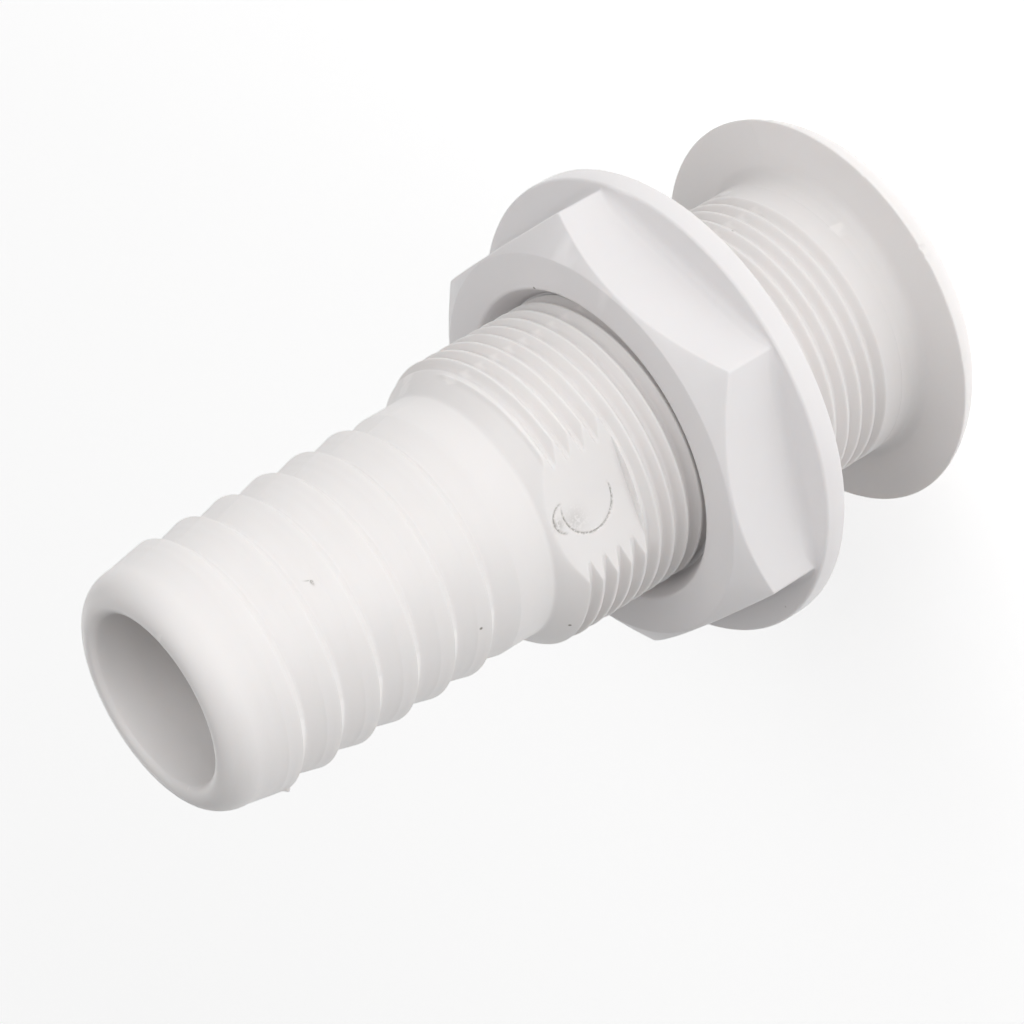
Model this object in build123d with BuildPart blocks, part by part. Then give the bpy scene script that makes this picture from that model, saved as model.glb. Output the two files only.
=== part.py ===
from build123d import *
import math
import os

# Moulded plastic through-hull fitting with a hose barb, and its flanged hexagon nut.
#
# All sizes are in millimetres. The origin is the centre of the seat, the flat underside of the
# mushroom head that bears on the outside of the hull. +Z runs along the waterway to the barb.
# The XZ plane is the mould's parting plane, and the gate pad faces -Y.

os.makedirs("parts", exist_ok=True)

# Thread: a 60 degree form, right-handed, as on a metric fine thread of this pitch
PITCH = 1.5
THREAD_R = 12.65
THREAD_TURNS = 22.5
THREAD_START_Z = 3.66  # middle of the groove at +X, where the thread begins
FLANK = math.tan(math.radians(30))
CREST_FLAT = PITCH / 8
ROOT_FLAT = PITCH / 4
THREAD_DEPTH = (PITCH - CREST_FLAT - ROOT_FLAT) / 2 / FLANK
TOOL_OVERLAP = 0.05  # how far a thread tool stands proud of the surface it cuts

# Mushroom head
HEAD_R = 17.75
HEAD_H = 4.9
HEAD_FLAT_R = 9.0  # flat ring around the outlet
RIM_RISE = 0.9  # height of the dome's ellipse centre above the seat, which undercuts the rim
RIM_FILLET = 0.15
NECK_FILLET = 0.6
OUTLET_FILLET = 1.0

# Waterway and hose tail
BORE_R = 7.35
SHOULDER_Z = 36.5
PLAIN_Z = 38.9
PLAIN_R = 10.73
PLAIN_END_Z = 42.4
BARB_COUNT = 6
BARB_PITCH = 3.745
FIRST_BARB_Z = 45.54
BARB_R = 10.93
BARB_LAND = 0.35
BARB_LAND_R = 10.9
BARB_ROOT_R = 10.15
BARB_STEP = 0.8  # length of each barb's steep back
NOSE_Z = 67.6
NOSE_R = 10.32
NOSE_ROUND_R = 2.65
TAIL_Z = 70.2
BORE_CHAMFER = 0.32

# Gate pad: a flat across the last thread turns, with the round witness mark of the gate
PAD_Y = 11.1
PAD_Z = 30.5
PAD_CUT_W = 16.0
PAD_CUT_H = 9.0
MARK_X = 0.55
MARK_Z = 34.6
MARK_R = 2.45
MARK_W = 0.16
MARK_DEPTH = 0.1

# Nut
NUT_Z = 16.76  # clamping face, from the seat
NUT_FLANGE_R = 20.62
NUT_FLANGE_T = 2.1
NUT_FLANGE_BORE_R = 13.2
NUT_FLANGE_FILLET = 0.25
NUT_H = 9.03
HEX_CORNER_R = 20.09
HEX_TURN = -10.2  # direction of one corner, in degrees from +X
HEX_CORNER_FILLET = 0.4
HEX_FACE_R = 17.15
HEX_CHAMFER_SLOPE = 0.8  # fall along Z for each millimetre outwards
LEAD_IN_R = 14.0
LEAD_IN_DEPTH = 1.6
LEAD_IN_END_R = 12.95
LEAD_IN_LAND = 0.2
NUT_RADIAL_GAP = 0.15
NUT_FLANK_GAP = 0.13
NUT_MINOR_GAP = 0.26

THREAD_ROOT_R = THREAD_R - THREAD_DEPTH
NUT_SPLIT_Z = NUT_Z + NUT_FLANGE_T
NUT_TOP_Z = NUT_Z + NUT_H
NUT_MAJOR_R = THREAD_R + NUT_RADIAL_GAP
NUT_MINOR_R = THREAD_ROOT_R + NUT_MINOR_GAP


def barb_points():
    """Corners of the barbs' outline, from the head end to the tail end."""
    points = []
    for i in range(BARB_COUNT):
        crest_z = FIRST_BARB_Z + i * BARB_PITCH
        points.append((BARB_ROOT_R, crest_z - BARB_STEP))
        points.append((BARB_R, crest_z))
        if i < BARB_COUNT - 1:
            points.append((BARB_LAND_R, crest_z + BARB_LAND))
    return points


def ridge_half_width(radius):
    """Half the axial width of the male thread's ridge at a radius."""
    return CREST_FLAT / 2 + (THREAD_R - radius) * FLANK


# Body: head, threaded barrel and hose tail in one moulding
with BuildPart() as hull_body:
    with BuildSketch(Plane.XZ):
        with BuildLine():
            rim_angle = math.degrees(math.asin(RIM_RISE / (HEAD_H + RIM_RISE)))
            dome_rx = (HEAD_R - HEAD_FLAT_R) / math.cos(math.radians(rim_angle))
            face = Line((BORE_R, -HEAD_H), (HEAD_FLAT_R, -HEAD_H))
            dome = EllipticalCenterArc(
                (HEAD_FLAT_R, RIM_RISE), dome_rx, HEAD_H + RIM_RISE, -90, arc_size=90 - rim_angle
            )
            tail_round = EllipticalCenterArc(
                (NOSE_R - NOSE_ROUND_R, NOSE_Z), NOSE_ROUND_R, TAIL_Z - NOSE_Z, 0, arc_size=90
            )
            Polyline(
                dome @ 1,
                (THREAD_R, 0),
                (THREAD_R, SHOULDER_Z),
                (PLAIN_R, PLAIN_Z),
                (PLAIN_R, PLAIN_END_Z),
                *barb_points(),
                tail_round @ 0,
            )
            Polyline(tail_round @ 1, (BORE_R, TAIL_Z - BORE_CHAMFER), (BORE_R, -HEAD_H))
        make_face()
    revolve(axis=Axis.Z)

    seat_rings = hull_body.edges().filter_by_position(Axis.Z, -0.01, 0.01)
    fillet(seat_rings.sort_by(SortBy.RADIUS)[0], NECK_FILLET)
    seat_rings = hull_body.edges().filter_by_position(Axis.Z, -0.01, 0.01)
    fillet(seat_rings.sort_by(SortBy.RADIUS)[-1], RIM_FILLET)
    outlet_rings = hull_body.edges().group_by(Axis.Z)[0]
    fillet(outlet_rings.sort_by(SortBy.RADIUS)[0], OUTLET_FILLET)

    # The groove between the thread's ridges
    with BuildLine() as male_path:
        Helix(PITCH, PITCH * THREAD_TURNS, THREAD_R, center=(0, 0, THREAD_START_Z))
    start = male_path.line @ 0
    with BuildSketch(Plane(start, x_dir=(1, 0, 0), z_dir=male_path.line % 0)):
        with BuildLine():
            top_w = PITCH / 2 - CREST_FLAT / 2 + TOOL_OVERLAP * FLANK
            Polyline(
                (-THREAD_DEPTH, -ROOT_FLAT / 2),
                (TOOL_OVERLAP, -top_w),
                (TOOL_OVERLAP, top_w),
                (-THREAD_DEPTH, ROOT_FLAT / 2),
                close=True,
            )
        make_face()
    sweep(path=male_path.line, is_frenet=True, mode=Mode.SUBTRACT)

    # Gate pad, and the ring that the gate left in it
    with BuildSketch(Plane.XZ.offset(PAD_Y)):
        with Locations((0, PAD_Z + PAD_CUT_H / 2)):
            Rectangle(PAD_CUT_W, PAD_CUT_H)
    extrude(amount=THREAD_R, mode=Mode.SUBTRACT)
    with BuildSketch(Plane.XZ.offset(PAD_Y)):
        with Locations((MARK_X, MARK_Z)):
            Circle(MARK_R + MARK_W / 2)
            Circle(MARK_R - MARK_W / 2, mode=Mode.SUBTRACT)
    extrude(amount=-MARK_DEPTH, mode=Mode.SUBTRACT)

# Washer face of the nut, a plain ring that clears the thread
with BuildPart() as nut_flange:
    with BuildSketch(Plane.XY.offset(NUT_Z)):
        Circle(NUT_FLANGE_R)
        Circle(NUT_FLANGE_BORE_R, mode=Mode.SUBTRACT)
    extrude(amount=NUT_FLANGE_T)
    rings = nut_flange.edges().filter_by(GeomType.CIRCLE)
    fillet(rings.group_by(SortBy.RADIUS)[-1], NUT_FLANGE_FILLET)

# Hexagon of the nut, with the internal thread
with BuildPart() as nut_hexagon:
    # Threaded sleeve, up to the floor of the lead-in
    with BuildSketch(Plane.XY.offset(NUT_SPLIT_Z)):
        Circle(LEAD_IN_R)
        Circle(NUT_MINOR_R, mode=Mode.SUBTRACT)
    extrude(amount=NUT_TOP_Z - LEAD_IN_DEPTH - NUT_SPLIT_Z)

    # Groove for the male ridge: it runs in from below the sleeve and out above it
    ridge_z = THREAD_START_Z + PITCH / 2
    first_turn = math.floor((NUT_SPLIT_Z - ridge_z) / PITCH)
    nut_turns = math.ceil((NUT_H - NUT_FLANGE_T) / PITCH) + 1
    with BuildLine() as nut_path:
        Helix(PITCH, PITCH * nut_turns, NUT_MINOR_R, center=(0, 0, ridge_z + first_turn * PITCH))
    start = nut_path.line @ 0
    with BuildSketch(Plane(start, x_dir=(1, 0, 0), z_dir=nut_path.line % 0)):
        with BuildLine():
            inner_w = ridge_half_width(NUT_MINOR_R - TOOL_OVERLAP) + NUT_FLANK_GAP
            outer_w = ridge_half_width(NUT_MAJOR_R) + NUT_FLANK_GAP
            Polyline(
                (-TOOL_OVERLAP, -inner_w),
                (NUT_MAJOR_R - NUT_MINOR_R, -outer_w),
                (NUT_MAJOR_R - NUT_MINOR_R, outer_w),
                (-TOOL_OVERLAP, inner_w),
                close=True,
            )
        make_face()
    sweep(path=nut_path.line, is_frenet=True, mode=Mode.SUBTRACT)

    # Hexagon around the sleeve, and the lead-in above it
    with BuildSketch(Plane.XY.offset(NUT_SPLIT_Z)):
        RegularPolygon(radius=HEX_CORNER_R, side_count=6, rotation=HEX_TURN)
        Circle(LEAD_IN_R, mode=Mode.SUBTRACT)
    extrude(amount=NUT_H - NUT_FLANGE_T)
    fillet(nut_hexagon.edges().filter_by(Axis.Z).group_by(SortBy.DISTANCE)[-1], HEX_CORNER_FILLET)

    # Countersink: the lead-in narrows from the outer face towards the thread
    lead_in_floor = NUT_TOP_Z - LEAD_IN_DEPTH
    with BuildSketch(Plane.XZ):
        with BuildLine():
            Polyline(
                (LEAD_IN_END_R, lead_in_floor),
                (LEAD_IN_R + LEAD_IN_LAND, lead_in_floor),
                (LEAD_IN_R + LEAD_IN_LAND, NUT_TOP_Z - LEAD_IN_LAND),
                (LEAD_IN_R, NUT_TOP_Z - LEAD_IN_LAND),
                close=True,
            )
        make_face()
    revolve(axis=Axis.Z)

    # Cone that takes the corners off the outer face
    with BuildSketch(Plane.XZ):
        with BuildLine():
            reach = HEX_CORNER_R - HEX_FACE_R + 1
            Polyline(
                (HEX_FACE_R, NUT_TOP_Z),
                (HEX_FACE_R + reach, NUT_TOP_Z - reach * HEX_CHAMFER_SLOPE),
                (HEX_FACE_R + reach, NUT_TOP_Z + 1),
                (HEX_FACE_R, NUT_TOP_Z + 1),
                close=True,
            )
        make_face()
    revolve(axis=Axis.Z, mode=Mode.SUBTRACT)

for name, piece in (
    ("hull_body", hull_body),
    ("nut_flange", nut_flange),
    ("nut_hexagon", nut_hexagon),
):
    piece.part.label = name
    export_step(piece.part, f"parts/{name}.step")
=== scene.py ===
import math

import bmesh
import bpy
import numpy as np
from mathutils import Matrix, Vector


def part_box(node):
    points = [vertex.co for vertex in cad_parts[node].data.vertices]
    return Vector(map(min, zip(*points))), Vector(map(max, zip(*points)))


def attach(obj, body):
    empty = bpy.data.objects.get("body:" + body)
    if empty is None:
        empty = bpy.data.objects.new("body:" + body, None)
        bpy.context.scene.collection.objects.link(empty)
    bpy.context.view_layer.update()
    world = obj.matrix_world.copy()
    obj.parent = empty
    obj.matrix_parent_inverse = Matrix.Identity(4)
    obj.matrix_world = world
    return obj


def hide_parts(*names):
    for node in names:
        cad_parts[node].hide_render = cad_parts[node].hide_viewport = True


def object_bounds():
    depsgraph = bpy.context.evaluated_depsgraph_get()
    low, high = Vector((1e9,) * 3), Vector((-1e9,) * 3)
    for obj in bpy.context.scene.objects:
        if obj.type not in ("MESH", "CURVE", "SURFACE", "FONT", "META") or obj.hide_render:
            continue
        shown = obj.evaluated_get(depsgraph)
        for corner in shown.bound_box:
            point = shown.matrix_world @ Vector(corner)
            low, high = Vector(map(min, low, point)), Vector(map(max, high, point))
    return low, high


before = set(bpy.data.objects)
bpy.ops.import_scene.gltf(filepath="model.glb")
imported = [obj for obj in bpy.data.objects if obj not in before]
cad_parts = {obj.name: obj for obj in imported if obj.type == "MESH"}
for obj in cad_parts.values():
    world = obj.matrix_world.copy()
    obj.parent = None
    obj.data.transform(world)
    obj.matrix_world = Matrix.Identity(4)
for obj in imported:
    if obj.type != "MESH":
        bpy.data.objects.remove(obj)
cad_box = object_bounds()

# A moulded white plastic through-hull fitting and its flanged nut. Outlines are worked out in
# millimetres, as distance from the waterway's axis and height along it, and scaled to metres.
MM = 0.001

# Thread
PITCH = 1.5
THREAD_R = 12.65
THREAD_TURNS = 22.5
THREAD_START_Z = 3.66
FLANK = math.tan(math.radians(30))
CREST_FLAT = PITCH / 8
THREAD_DEPTH = (PITCH - CREST_FLAT - PITCH / 4) / 2 / FLANK
CREST_SOFT = 0.05
ROOT_SOFT = 0.08
SHOULDER_SOFT = 0.03
RUN_OUT = 0.05  # part of a turn in which the groove fades at each end
NUT_GAP_R = 0.13
NUT_GAP_Z = 0.11
NUT_MINOR_R = THREAD_R - THREAD_DEPTH + 0.3

# Body
HEAD_R = 17.7
HEAD_H = 4.9
HEAD_FLAT_R = 9.0
DOME_RISE = 0.9  # how far the dome's centre is above the seat
HEAD_EDGE = 0.12
OUTLET_FILLET = 1.0
OUTLET_Z = -2.0
NECK_FILLET = 1.1
NECK_Z = 2.2
BORE_R = 7.35
BORE_REACH = 4  # how far from its ends the bore's own rows start
BORE_ROWS = 14
SHOULDER_Z = 36.5
SHOULDER_FILLET = 0.6
PLAIN_Z = 38.9
PLAIN_R = 10.73
PLAIN_FILLET = 0.5
PLAIN_END_Z = 42.4
PLAIN_END_FILLET = 0.2
BARB_COUNT = 6
BARB_PITCH = 3.745
FIRST_BARB_Z = 45.54
BARB_R = 10.93
BARB_ROOT_R = 10.15
BARB_STEP = 0.8
BARB_ROOT_FILLET = 0.25
BARB_CREST_FILLET = 0.06
LINE_AT = 1.2  # faint witness line beyond each crest
LINE_H = 0.012
LINE_W = 0.07
PARTING_H = 0.035
PARTING_W = 0.7  # degrees
SEAT_LINE_W = 0.4  # degrees
NOSE_Z = 67.6
NOSE_R = 10.32
TAIL_Z = 70.2
MOUTH_W = 0.8
MOUTH_DEPTH = 0.65
MOUTH_EDGE = 0.1
MOUTH_END = 155  # where the mouth's rounding meets the bore, in degrees
DOME_STEPS = 25
NOSE_STEPS = 13
MOUTH_STEPS = 8

RIM_NICKS = ((-68.0, 0.2), (-71.2, 0.12), (-43.0, 0.09), (-101.0, 0.08))  # direction, depth
NICK_W = 0.7  # degrees

# Flash left at the parting line
NIB_AT = 205
NIB_Z = 64.45
NIB_H = 0.28
NIB_W = 1.3  # degrees
NIB_TALL = 0.28
FLASH_AT = -2.0
FLASH_Z = 4.1
FLASH_H = 0.1
FLASH_W = 1.1  # degrees
FLASH_TALL = 0.3

# Scuff on the tail
SCUFF_AT = -58.5
SCUFF_R = 10.75
SCUFF_Z = 58.5
SCUFF_BEND = 1.4  # slope of the scuff past its bend
SCUFF_W = 0.09
SCUFF_MIDDLE = -0.07
SCUFF_REACH = 0.26
SCUFF_DARK = 1.6

# Gate pad
PAD_Y = 11.1
PAD_Z = 30.5
PAD_AT = 270.0  # direction that the pad faces, in degrees from +X
PAD_SOFT = 0.06
PAD_EDGE_SOFT = 0.1
PAD_REACH = 50  # degrees either side within which the pad can cut
PAD_WALL_SOFT = 0.08
LAST_RIDGE_Z = 37.39
LAST_RIDGE_H = 0.13
LAST_RIDGE_W = 0.14
LAST_RIDGE_END = -3.0  # directions at which the last ridge stops and starts, and its fades
LAST_RIDGE_END_FADE = 5
LAST_RIDGE_START = -90
LAST_RIDGE_START_FADE = 10
MARK_X = 0.42
MARK_Z = 34.6
MARK_R = 2.48
MARK_W = 0.08
MARK_DEPTH = 0.13
MARK_OPEN = 112  # the ring ends this far either side, in degrees
DISC_DEPTH = 0.06
DISC_EDGE = 0.2
SECOND_X = 0.1
SECOND_Z = 36.8
SECOND_R = 1.25
SECOND_DEPTH = 0.10
SECOND_OPEN = 90
SECOND_AT = 95
MARK_FADE = 30
SMUDGE = 0.32  # dirt inside the first ring, and its place
SMUDGE_X = MARK_X - 0.9
SMUDGE_Z = MARK_Z + 1.5
SMUDGE_R = 0.9
SMEAR = 0.5  # dirt inside the second ring, and its place
SMEAR_X = SECOND_X - 0.2
SMEAR_Z = SECOND_Z + 0.9
SMEAR_R = 0.45

# Nut
NUT_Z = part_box("nut_flange")[0].z / MM
NUT_H = 9.03
FLANGE_R = 20.62
FLANGE_T = 2.1
FLANGE_BORE_R = 13.2
FLANGE_EDGE = 0.3
HEX_CORNER_R = 20.09
HEX_TURN = -10.2
HEX_CORNER_FILLET = 0.4
HEX_FOOT_FILLET = 1.0
HEX_EDGE = 0.3
HEX_FACE_R = 17.15
HEX_CHAMFER_SLOPE = 0.8
LEAD_IN_R = 14.0
LEAD_IN_EDGE = 0.45
LEAD_IN_DEPTH = 2.1
LEAD_IN_END_R = 12.75


# --- outlines ------------------------------------------------------------------------------


FILLET_STEPS = 4


def rounded(corners):
    """Outline through corners (r, z, fillet radius), with an arc at each filleted corner."""
    line = []
    for i, (r, z, fillet) in enumerate(corners):
        point = Vector((r, z))
        if fillet == 0 or i in (0, len(corners) - 1):
            line.append(point)
            continue
        before = (Vector(corners[i - 1][:2]) - point).normalized()
        after = (Vector(corners[i + 1][:2]) - point).normalized()
        half = before.angle(after) / 2
        centre = point + (before + after).normalized() * (fillet / math.sin(half))
        start = point + before * (fillet / math.tan(half)) - centre
        end = point + after * (fillet / math.tan(half)) - centre
        for k in range(FILLET_STEPS + 1):
            line.append(centre + start.slerp(end, k / FILLET_STEPS) * fillet)
    return np.array([tuple(p) for p in line])


def quarter(centre, radius_r, radius_z, start, end, steps):
    """Points of an ellipse arc, angles in degrees."""
    turn = np.radians(np.linspace(start, end, steps))
    return [(centre[0] + radius_r * math.cos(t), centre[1] + radius_z * math.sin(t)) for t in turn]


def smooth_step(value):
    value = np.clip(value, 0, 1)
    return value * value * (3 - 2 * value)


def soft_min(a, b, soft):
    return (a + b - np.sqrt((a - b) ** 2 + soft**2)) / 2


def soft_max(a, b, soft):
    return (a + b + np.sqrt((a - b) ** 2 + soft**2)) / 2


def mesh_of_columns(name, columns):
    """A closed skin from columns of (x, y, z) points in millimetres, one column per direction.

    The last column repeats the first, one thread turn on, and doubled points are merged.
    """
    count = len(columns[0])
    points = np.concatenate(columns) * MM
    faces = []
    for c in range(len(columns) - 1):
        for i in range(count):
            k = (i + 1) % count
            a = c * count
            b = a + count
            faces.append((a + i, b + i, b + k, a + k))
    mesh = bpy.data.meshes.new(name)
    mesh.from_pydata(points.tolist(), [], faces)
    work = bmesh.new()
    work.from_mesh(mesh)
    bmesh.ops.remove_doubles(work, verts=work.verts, dist=0.001 * MM)
    bmesh.ops.dissolve_degenerate(work, edges=work.edges, dist=0.001 * MM)
    bmesh.ops.recalc_face_normals(work, faces=work.faces)
    work.to_mesh(mesh)
    work.free()
    piece = bpy.data.objects.new(name, mesh)
    bpy.context.scene.collection.objects.link(piece)
    return piece


def finish_mesh(piece, sharp_deg):
    piece.data.shade_smooth()
    piece.data.set_sharp_from_angle(angle=math.radians(sharp_deg))


COLUMN_STEP = 2.5  # degrees
TAIL_ROW_STEP = 0.7
ABOVE_THREAD = 1.6  # how far past the shoulder cone the rows still follow the thread
FINE_CUTS = 3
FINEST_CUTS = 7
NIB_REACH = 1.2
SCUFF_AROUND = 0.9

# Heights of a turn's rows, measured from the middle of its groove
HALF_TURN_ROWS = np.array([0.10, 0.19, 0.28, 0.42, 0.56, 0.64, 0.70])
TURN_ROWS = np.array([*-HALF_TURN_ROWS[::-1], 0, *HALF_TURN_ROWS, PITCH / 2])


def helix_rows(first_z, last_z, groove_z):
    """Heights along +X of rows that follow the thread, from a turn below first_z to last_z."""
    first = math.floor((first_z - groove_z) / PITCH) - 2
    last = math.ceil((last_z - groove_z) / PITCH) + 1
    return np.concatenate([groove_z + n * PITCH + TURN_ROWS for n in range(first, last)])


# --- body ----------------------------------------------------------------------------------


def barb_corners():
    corners = []
    for i in range(BARB_COUNT):
        crest_z = FIRST_BARB_Z + i * BARB_PITCH
        corners.append((BARB_ROOT_R, crest_z - BARB_STEP, BARB_ROOT_FILLET))
        corners.append((BARB_R, crest_z, BARB_CREST_FILLET))
        run = BARB_PITCH - BARB_STEP if i < BARB_COUNT - 1 else NOSE_Z - crest_z
        end_r = BARB_ROOT_R if i < BARB_COUNT - 1 else NOSE_R
        for off, proud in ((-LINE_W, 0), (0, LINE_H), (LINE_W, 0)):
            t = (LINE_AT + off) / run
            corners.append((BARB_R + (end_r - BARB_R) * t + proud, crest_z + t * run, 0))
    return corners


def body_outlines():
    """Outline of the head and neck, and outline of the barrel, tail and mouth."""
    rim_deg = math.degrees(math.asin(DOME_RISE / (HEAD_H + DOME_RISE)))
    dome_r = (HEAD_R - HEAD_FLAT_R) / math.cos(math.radians(rim_deg))
    dome_h = HEAD_H + DOME_RISE
    dome = quarter((HEAD_FLAT_R, DOME_RISE), dome_r, dome_h, -90, -rim_deg, DOME_STEPS)
    head = [(BORE_R, OUTLET_Z, 0), (BORE_R, -HEAD_H, OUTLET_FILLET)]
    head += [(r, z, 0) for r, z in dome[:-1]]
    head += [(HEAD_R, 0, HEAD_EDGE), (THREAD_R, 0, NECK_FILLET), (THREAD_R, NECK_Z, 0)]
    outside = [(THREAD_R, NECK_Z, 0), (THREAD_R, SHOULDER_Z, SHOULDER_FILLET)]
    outside += [(PLAIN_R, PLAIN_Z, PLAIN_FILLET), (PLAIN_R, PLAIN_END_Z, PLAIN_END_FILLET)]
    outside += barb_corners()
    round_r = NOSE_R - BORE_R - MOUTH_W
    nose = quarter((NOSE_R - round_r, NOSE_Z), round_r, TAIL_Z - NOSE_Z, 0, 90, NOSE_STEPS)
    outside += [(r, z, 0) for r, z in nose[:-1]]
    centre = (BORE_R + MOUTH_W, TAIL_Z - MOUTH_DEPTH)
    mouth = quarter(centre, MOUTH_W, MOUTH_DEPTH, 90, MOUTH_END, MOUTH_STEPS)
    outside += [(r, z, 0) for r, z in mouth]
    outside += [(BORE_R, mouth[-1][1] - MOUTH_EDGE, 0), (BORE_R, TAIL_Z - BORE_REACH, 0)]
    return rounded(head), rounded(outside)


head_line, outside_line = body_outlines()
nose_top = int(np.argmax(outside_line[:, 1]))


def groove_depth(angle, z):
    """How deep the male thread's groove is at a direction in degrees and a height."""
    angle = np.mod(angle, 360)
    turns = angle / 360 + np.round((z - THREAD_START_Z) / PITCH - angle / 360)
    off = np.abs(z - THREAD_START_Z - PITCH * turns)
    depth = soft_max((PITCH / 2 - CREST_FLAT / 2 - off) / FLANK, 0, CREST_SOFT)
    depth = soft_min(depth, THREAD_DEPTH, ROOT_SOFT)
    return depth * smooth_step(turns / RUN_OUT) * smooth_step((THREAD_TURNS - turns) / RUN_OUT)


def bump(distance, width):
    return np.exp(-((distance / width) ** 2))


def gate_lines(x, z):
    """Strength of the gate's two thin rings, which don't close, at a point of the pad."""
    away = np.hypot(x - MARK_X, z - MARK_Z)
    turn = np.degrees(np.arctan2(z - MARK_Z, MARK_X - x))
    ring = bump(away - MARK_R, MARK_W) * smooth_step((MARK_OPEN - np.abs(turn)) / MARK_FADE)
    second = np.hypot(x - SECOND_X, z - SECOND_Z)
    second_turn = np.degrees(np.arctan2(z - SECOND_Z, SECOND_X - x))
    arc = smooth_step((SECOND_OPEN - np.abs(second_turn - SECOND_AT)) / MARK_FADE)
    return ring, bump(second - SECOND_R, MARK_W) * arc


def pad_marks(x, z):
    """Depth of the gate's rings and disc below the pad."""
    away = np.hypot(x - MARK_X, z - MARK_Z)
    ring, second = gate_lines(x, z)
    inside = smooth_step((MARK_R - away) / DISC_EDGE)
    disc = DISC_DEPTH * inside * smooth_step((MARK_X + 1.2 - x) / 2)
    return MARK_DEPTH * ring + SECOND_DEPTH * second + disc


def dirt_and_groove_shade_at(x, z):
    """Darkness in the gate's marks: painted shade along the two ring grooves, and dirt in the
    smudge and smear.
    """
    away = np.hypot(x - MARK_X, z - MARK_Z)
    ring, second = gate_lines(x, z)
    smudge = SMUDGE * bump(np.hypot(x - SMUDGE_X, z - SMUDGE_Z), SMUDGE_R)
    smudge = smudge * smooth_step((MARK_R - away) / DISC_EDGE)
    smear = SMEAR * bump(np.hypot(x - SMEAR_X, z - SMEAR_Z), SMEAR_R)
    # The rings' share paints shade into their grooves; the smudge and smear are dirt
    return np.clip(0.9 * ring + 0.8 * second + smudge + smear, 0, 1)


def outside_radius(angle, z):
    """Distance from the axis of the barrel's and tail's skin."""
    line = outside_line[: nose_top + 1]
    base = np.interp(z, line[:, 1], line[:, 0])
    radius = soft_min(base, THREAD_R - groove_depth(angle, z), SHOULDER_SOFT)
    last = np.mod(angle, 360) - 360
    last_z = LAST_RIDGE_Z + PITCH * last / 360
    last_on = smooth_step((LAST_RIDGE_END - last) / LAST_RIDGE_END_FADE)
    last_on = last_on * smooth_step((last - LAST_RIDGE_START) / LAST_RIDGE_START_FADE)
    radius = radius + LAST_RIDGE_H * bump(z - last_z, LAST_RIDGE_W) * last_on
    radius = np.where(z > PLAIN_Z + 1, base, radius)
    off = np.radians(np.mod(angle - PAD_AT + 180, 360) - 180)
    facing = np.abs(off) < math.radians(PAD_REACH)
    flat = PAD_Y / np.cos(np.where(facing, off, 0))
    sunk = flat - pad_marks(flat * np.sin(off), z)
    soft = PAD_SOFT + PAD_EDGE_SOFT * smooth_step((z - SHOULDER_Z) / 1.2)
    padded = soft_min(radius, np.where(facing, sunk, radius + 1), soft)
    wall = smooth_step((z - PAD_Z) / PAD_WALL_SOFT + 0.5)
    radius = radius + (np.where(facing, padded, radius) - radius) * wall
    nib = NIB_H * bump(np.mod(angle, 360) - NIB_AT, NIB_W) * bump(z - NIB_Z, NIB_TALL)
    flash_off = np.mod(angle + 180, 360) - 180 - FLASH_AT
    flash = FLASH_H * bump(flash_off, FLASH_W) * bump(z - FLASH_Z, FLASH_TALL)
    side = np.mod(angle + 90, 180) - 90
    parting = PARTING_H * bump(side, PARTING_W) * smooth_step((z - PLAIN_Z) / 2)
    parting = parting * smooth_step((NOSE_Z - z) / 0.8)
    return radius + nib + flash + parting


def place(angle, radius, z):
    turn = np.radians(angle)
    return np.stack([radius * np.cos(turn), radius * np.sin(turn), z], axis=-1)


def worn_head(angle):
    """The head's outline at a direction: nicks in the rim's edge, parting line on the seat."""
    r, z = head_line.T.copy()
    side = (angle + 180) % 360 - 180
    edge = (r > HEAD_R - 0.3) & (z > -0.6)
    for at, depth in RIM_NICKS:
        r = r - np.where(edge, depth * bump(side - at, NICK_W), 0)
    seat = (np.abs(z) < 0.01) & (r > THREAD_R + 1) & (r < HEAD_R - 0.05)
    return r, z + np.where(seat, PARTING_H * bump(side, SEAT_LINE_W), 0)


def body_angles():
    """Directions of the body's columns, closer together at the parting line and the nicks."""
    close = [-1.4, -0.9, -0.45, 0, 0.45, 0.9, 1.4]
    wide = np.arange(COLUMN_STEP, 178, COLUMN_STEP)
    nicks = [at + 360 + off for at, depth in RIM_NICKS for off in (-1.2, -0.6, 0, 0.6, 1.2)]
    angles = {a % 360 for a in close} | {180 + a for a in close}
    angles |= {round(float(a), 3) for a in (*wide, *(180 + wide), *nicks)}
    return [*sorted(angles), 360]


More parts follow.
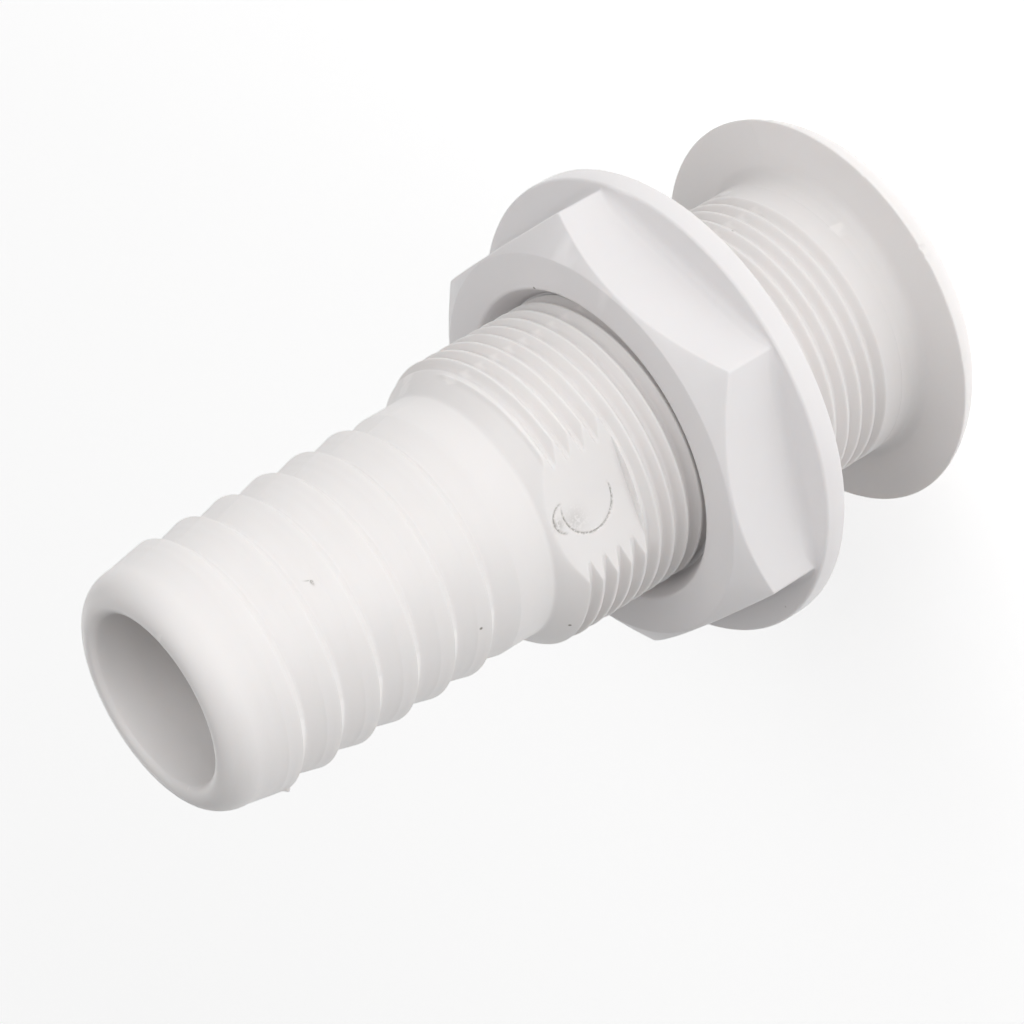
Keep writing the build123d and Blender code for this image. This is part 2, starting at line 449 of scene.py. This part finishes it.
def make_body():
    low_z = float(head_line[-1][1])
    high_z = PLAIN_Z + ABOVE_THREAD
    rows = helix_rows(low_z, high_z, THREAD_START_Z)
    above = outside_line[outside_line[:, 1] > high_z]
    above = above[: int(np.argmax(above[:, 1])) + 1]
    tail = [above[0]]
    for a, b in zip(above[:-1], above[1:]):
        parts = max(1, math.ceil(abs(b[1] - a[1]) / TAIL_ROW_STEP))
        tail += [a + (b - a) * (k + 1) / parts for k in range(parts)]
    tail = np.array(tail)
    mouth = outside_line[nose_top + 1 :]
    bore_z = np.linspace(TAIL_Z - 2 * BORE_REACH, 2, BORE_ROWS)
    inside = np.stack([np.full(BORE_ROWS, BORE_R), bore_z], axis=1)
    columns = []
    for angle in body_angles():
        z = np.clip(rows + PITCH * angle / 360, low_z, high_z)
        column = [
            place(angle, *worn_head(angle)),
            place(angle, outside_radius(angle, z), z),
            place(angle, outside_radius(angle, tail[:, 1]), tail[:, 1]),
            place(angle, mouth[:, 0], mouth[:, 1]),
            place(angle, inside[:, 0], inside[:, 1]),
        ]
        columns.append(np.concatenate(column))
    body = mesh_of_columns("fitting_body", columns)
    low_pad, high_pad = PAD_Z - 0.4, PLAIN_Z + 0.6
    refine(body, FINE_CUTS, lambda p: abs(p.x) < 7 and p.y < -9 and low_pad < p.z < high_pad)
    nib = Vector(place(NIB_AT, BARB_R, NIB_Z))
    refine(body, FINE_CUTS, lambda p: (p - nib).length < NIB_REACH)
    scuff = Vector(place(SCUFF_AT, SCUFF_R, SCUFF_Z))
    refine(body, FINEST_CUTS, lambda p: (p - scuff).length < SCUFF_AROUND)
    add_dirt_and_groove_shade(body)
    finish_mesh(body, 38)
    return body


def scuff_at(x, y, z):
    """Darkness of a short hooked scuff on the tail."""
    along = (np.degrees(np.arctan2(y, x)) - SCUFF_AT) * math.radians(SCUFF_R)
    hook = z - SCUFF_Z - SCUFF_BEND * np.maximum(along, 0)
    line = bump(hook, SCUFF_W) * bump(along - SCUFF_MIDDLE, SCUFF_REACH)
    return np.minimum(SCUFF_DARK * line, 1)


def add_dirt_and_groove_shade(piece):
    """Writes the painted shade in the gate's ring grooves, the dirt there and the scuff as an
    attribute for the material.
    """
    points = np.empty(len(piece.data.vertices) * 3)
    piece.data.vertices.foreach_get("co", points)
    x, y, z = points.reshape(-1, 3).T / MM
    dirt_and_shade = np.where((y < -PAD_Y + 1) & (z > PAD_Z) & (z < PLAIN_Z), dirt_and_groove_shade_at(x, z), 0.0)
    dirt_and_shade = np.maximum(dirt_and_shade, np.where(z > PLAIN_END_Z, scuff_at(x, y, z), 0.0))
    piece.data.attributes.new("dirt_and_groove_shade", "FLOAT", "POINT").data.foreach_set("value", dirt_and_shade)


def refine(piece, cuts, wanted):
    """Divides the skin's faces where wanted(middle in mm) and puts the new points on the skin."""
    work = bmesh.new()
    work.from_mesh(piece.data)
    faces = [f for f in work.faces if wanted(f.calc_center_median() / MM)]
    edges = list({e for f in faces for e in f.edges})
    made = bmesh.ops.subdivide_edges(work, edges=edges, cuts=cuts, use_grid_fill=True)
    for v in {v for v in made["geom_inner"] if isinstance(v, bmesh.types.BMVert)}:
        angle = math.degrees(math.atan2(v.co.y, v.co.x))
        radius = float(outside_radius(np.float64(angle), np.float64(v.co.z / MM)))
        v.co = Vector(place(angle, radius, v.co.z / MM)) * MM
    work.to_mesh(piece.data)
    work.free()


# --- nut -----------------------------------------------------------------------------------


def hex_radius(angle):
    """Distance from the axis to the hexagon's skin, with its corners rounded."""
    off = abs((angle - HEX_TURN + 30) % 60 - 30)
    cos_30 = math.cos(math.radians(30))
    flat = HEX_CORNER_R * cos_30
    centre = (flat - HEX_CORNER_FILLET) / cos_30
    side = centre * math.sin(math.radians(off))
    edge = math.atan2(HEX_CORNER_FILLET / 2, centre + HEX_CORNER_FILLET * cos_30)
    if off < math.degrees(edge):
        return centre * math.cos(math.radians(off)) + math.sqrt(HEX_CORNER_FILLET**2 - side**2)
    return flat / math.cos(math.radians(30 - off))


def nut_outline(angle):
    """Outline at a direction, from the flange's bore round the outside to the lead-in."""
    wide = hex_radius(angle)
    edge_z = NUT_H - (wide - HEX_FACE_R) * HEX_CHAMFER_SLOPE
    foot = min(HEX_FOOT_FILLET, (FLANGE_R - FLANGE_EDGE - wide) * 0.9)
    corners = [
        (FLANGE_BORE_R, FLANGE_T, 0),
        (FLANGE_BORE_R, 0, FLANGE_EDGE),
        (FLANGE_R, 0, FLANGE_EDGE),
        (FLANGE_R, FLANGE_T, FLANGE_EDGE),
        (wide, FLANGE_T, foot),
        (wide, edge_z, HEX_EDGE),
        (HEX_FACE_R, NUT_H, HEX_EDGE),
        (LEAD_IN_R, NUT_H, LEAD_IN_EDGE),
        (LEAD_IN_END_R, NUT_H - LEAD_IN_DEPTH, 0),
    ]
    return rounded(corners) + (0, NUT_Z)


def nut_thread_radius(angle, z):
    """Distance from the axis of the nut's internal thread."""
    crest_z = THREAD_START_Z + PITCH / 2
    off = np.mod(z - crest_z - PITCH * angle / 360 + PITCH / 2, PITCH) - PITCH / 2
    radius = THREAD_R + (CREST_FLAT / 2 + NUT_GAP_Z - np.abs(off)) / FLANK
    radius = soft_max(radius, NUT_MINOR_R, CREST_SOFT)
    return soft_min(radius, THREAD_R + NUT_GAP_R, CREST_SOFT)


def nut_angles():
    """Directions of the nut's columns, closer together at the hexagon's corners."""
    side = [0, 0.19, 0.38, 0.574, 1, 2, 4, 6.5, 9, 12, 15, 18, 21, 24, 27, 30]
    offsets = sorted({-s for s in side[:-1]} | set(side))
    angles = [HEX_TURN + 60 * k + off for k in range(6) for off in offsets]
    return [*angles, angles[0] + 360]


def make_nut():
    low_z = NUT_Z + FLANGE_T
    high_z = NUT_Z + NUT_H - LEAD_IN_DEPTH
    rows = helix_rows(low_z, high_z, THREAD_START_Z + PITCH / 2)[::-1]
    angles = nut_angles()
    columns = []
    for angle in angles:
        line = nut_outline(angle)
        z = np.clip(rows + PITCH * angle / 360, low_z, high_z)
        column = [
            place(angle, line[:, 0], line[:, 1]),
            place(angle, nut_thread_radius(angle, z), z),
        ]
        columns.append(np.concatenate(column))
    nut = mesh_of_columns("flange_nut", columns)
    finish_mesh(nut, 30)
    return nut


# --- materials -----------------------------------------------------------------------------


def node(tree, kind, **values):
    made = tree.nodes.new(kind)
    for key, value in values.items():
        if hasattr(made, key):
            setattr(made, key, value)
        else:
            made.inputs[key.replace("_", " ")].default_value = value
    return made


def remap(tree, value, low, high, out_low=0.0, out_high=1.0):
    made = node(tree, "ShaderNodeMapRange", clamp=True)
    ends = {"From Min": low, "From Max": high, "To Min": out_low, "To Max": out_high}
    for end, number in ends.items():
        made.inputs[end].default_value = number
    tree.links.new(value, made.inputs["Value"])
    return made.outputs["Result"]


def multiply(tree, a, b):
    made = node(tree, "ShaderNodeMath", operation="MULTIPLY")
    tree.links.new(a, made.inputs[0])
    tree.links.new(b, made.inputs[1])
    return made.outputs["Value"]


def plastic(name, colour, roughness):
    """White moulded plastic: faint mottling, sparse dark specks, edges paled by rubbing and a
    painted highlight, dirt and painted groove shade in the gate's marks, fine skin.
    """
    material = bpy.data.materials.new(name)
    material.use_nodes = True
    tree = material.node_tree
    link = tree.links.new
    shader = tree.nodes["Principled BSDF"]
    place_node = node(tree, "ShaderNodeTexCoord").outputs["Object"]

    cloud = node(tree, "ShaderNodeTexNoise", Scale=90.0, Detail=3.0)
    grain = node(tree, "ShaderNodeTexNoise", Scale=1400.0, Detail=4.0)
    skin = node(tree, "ShaderNodeTexNoise", Scale=5200.0, Detail=2.0)
    specks = node(tree, "ShaderNodeTexVoronoi", Scale=420.0)
    for texture in (cloud, grain, skin, specks):
        link(place_node, texture.inputs["Vector"])

    base = node(tree, "ShaderNodeMix", data_type="RGBA")
    base.inputs["A"].default_value = (*[c * 0.95 for c in colour], 1)
    base.inputs["B"].default_value = (*colour, 1)
    link(cloud.outputs["Fac"], base.inputs["Factor"])

    # Edges that stand proud are rubbed a little paler, and the same paling is a painted highlight
    # along the crests
    pointed = node(tree, "ShaderNodeNewGeometry").outputs["Pointiness"]
    edge = remap(tree, pointed, 0.52, 0.62)
    rubbed_and_highlit = node(tree, "ShaderNodeMix", data_type="RGBA")
    rubbed_and_highlit.inputs["B"].default_value = (*[min(1, c * 1.06) for c in colour], 1)
    link(edge, rubbed_and_highlit.inputs["Factor"])
    link(base.outputs["Result"], rubbed_and_highlit.inputs["A"])

    # A dark speck in one cell of ten
    chance = node(tree, "ShaderNodeMath", operation="GREATER_THAN")
    chance.inputs[1].default_value = 0.9
    link(specks.outputs["Color"], chance.inputs[0])
    spot = remap(tree, specks.outputs["Distance"], 0.075, 0.03)
    dirty = node(tree, "ShaderNodeMix", data_type="RGBA")
    dirty.inputs["B"].default_value = (0.22, 0.19, 0.16, 1)
    link(multiply(tree, spot, chance.outputs["Value"]), dirty.inputs["Factor"])
    link(rubbed_and_highlit.outputs["Result"], dirty.inputs["A"])

    # Painted shade in the gate's ring grooves and dirt in its smudges, broken up by the skin
    dirt_and_groove_shade = node(tree, "ShaderNodeAttribute", attribute_name="dirt_and_groove_shade")
    broken = remap(tree, skin.outputs["Fac"], 0.34, 0.50)
    soiled_and_shaded = node(tree, "ShaderNodeMix", data_type="RGBA")
    soiled_and_shaded.inputs["B"].default_value = (0.40, 0.38, 0.36, 1)
    link(multiply(tree, dirt_and_groove_shade.outputs["Fac"], broken), soiled_and_shaded.inputs["Factor"])
    link(dirty.outputs["Result"], soiled_and_shaded.inputs["A"])
    link(soiled_and_shaded.outputs["Result"], shader.inputs["Base Color"])

    rough = remap(tree, grain.outputs["Fac"], 0.3, 0.7, roughness - 0.06, roughness + 0.07)
    link(rough, shader.inputs["Roughness"])

    fine = node(tree, "ShaderNodeBump", Strength=0.12, Distance=0.02 * MM)
    link(skin.outputs["Fac"], fine.inputs["Height"])
    broad = node(tree, "ShaderNodeBump", Strength=0.25, Distance=0.02 * MM)
    link(grain.outputs["Fac"], broad.inputs["Height"])
    link(fine.outputs["Normal"], broad.inputs["Normal"])
    link(broad.outputs["Normal"], shader.inputs["Normal"])
    shader.inputs["IOR"].default_value = 1.49
    shader.inputs["Subsurface Weight"].default_value = 0.3
    shader.inputs["Subsurface Radius"].default_value = (1.0, 0.85, 0.75)
    shader.inputs["Subsurface Scale"].default_value = 0.5 * MM
    return material


def floor_material():
    material = bpy.data.materials.new("pale_floor")
    material.use_nodes = True
    shader = material.node_tree.nodes["Principled BSDF"]
    shader.inputs["Base Color"].default_value = (0.85, 0.85, 0.85, 1)
    shader.inputs["Roughness"].default_value = 0.9
    shader.inputs["Emission Color"].default_value = (1, 1, 1, 1)
    shader.inputs["Emission Strength"].default_value = FLOOR_GLOW
    return material


# --- pieces --------------------------------------------------------------------------------

body = make_body()
body.data.materials.append(plastic("body_plastic", (0.86, 0.835, 0.825), 0.42))
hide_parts("hull_body")
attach(body, "hull")

# The flange and the hexagon are one moulding, so one piece stands for both and turns
nut = make_nut()
nut.data.materials.append(plastic("nut_plastic", (0.86, 0.838, 0.84), 0.38))
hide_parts("nut_flange", "nut_hexagon")
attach(nut, "hexagon")


# --- stage ---------------------------------------------------------------------------------

FLOOR_Z = cad_box[0].z
FLOOR_R = 3.6
SWEEP_R = 0.5
SWEEP_STEPS = 16
FLOOR_GLOW = 0.54
WORLD_GLOW = 0.15


def make_floor():
    """A round floor that curves up far away, so that no horizon shows behind the fitting."""
    work = bmesh.new()
    bmesh.ops.create_circle(work, cap_ends=True, segments=96, radius=FLOOR_R)
    for step in range(1, SWEEP_STEPS + 1):
        turn = math.radians(90 * step / SWEEP_STEPS)
        edges = [e for e in work.edges if e.is_boundary]
        made = bmesh.ops.extrude_edge_only(work, edges=edges)["geom"]
        for v in [v for v in made if isinstance(v, bmesh.types.BMVert)]:
            out = Vector((v.co.x, v.co.y, 0)).normalized() * (FLOOR_R + SWEEP_R * math.sin(turn))
            v.co = (out.x, out.y, SWEEP_R * (1 - math.cos(turn)))
    mesh = bpy.data.meshes.new("floor")
    work.to_mesh(mesh)
    work.free()
    made = bpy.data.objects.new("floor", mesh)
    made.location.z = FLOOR_Z
    bpy.context.scene.collection.objects.link(made)
    return made


floor = make_floor()
floor.data.materials.append(floor_material())

world = bpy.data.worlds.new("soft_white")
bpy.context.scene.world = world
world.use_nodes = True
world.node_tree.nodes["Background"].inputs["Color"].default_value = (1, 1, 1, 1)
world.node_tree.nodes["Background"].inputs["Strength"].default_value = WORLD_GLOW

MIDDLE = Vector((0, 0, 33 * MM))
LIGHT_AWAY = 0.6


def softbox(name, direction, size, watts):
    """A square area light that faces the fitting's middle."""
    light = bpy.data.lights.new(name, "AREA")
    light.size = size
    light.energy = watts
    lamp = bpy.data.objects.new(name, light)
    back = Vector(direction).normalized()
    lamp.location = MIDDLE + back * LIGHT_AWAY
    lamp.rotation_mode = "QUATERNION"
    lamp.rotation_quaternion = back.to_track_quat("Z", "Y")
    lamp.visible_camera = False
    bpy.context.scene.collection.objects.link(lamp)


softbox("key", (0.62, -0.38, 0.72), 0.5, 1.4)
softbox("front", (0.2, -1.0, 0.2), 0.5, 1.15)
softbox("top", (0, 0, 1), 0.5, 0.45)
softbox("back", (-0.25, 0.95, 0.2), 0.25, 0.3)

CAMERA_AT = Vector((0.09502, -0.23924, 0.17905))
CAMERA_LOOK = Vector((-0.32687, 0.80903, -0.48849))
CAMERA_UP = Vector((0.89055, 0.09067, -0.44575))
CAMERA_LENS = 129.47

camera_data = bpy.data.cameras.new("camera")
camera_data.lens = CAMERA_LENS
camera_data.sensor_width = 36
camera_data.clip_start = 0.01
camera = bpy.data.objects.new("camera", camera_data)
look = CAMERA_LOOK.normalized()
right = look.cross(CAMERA_UP).normalized()
up = right.cross(look)
turn = Matrix((right, up, -look)).transposed()
camera.matrix_world = Matrix.Translation(CAMERA_AT) @ turn.to_4x4()
bpy.context.scene.collection.objects.link(camera)
bpy.context.scene.camera = camera

bpy.context.scene.view_settings.view_transform = "Standard"
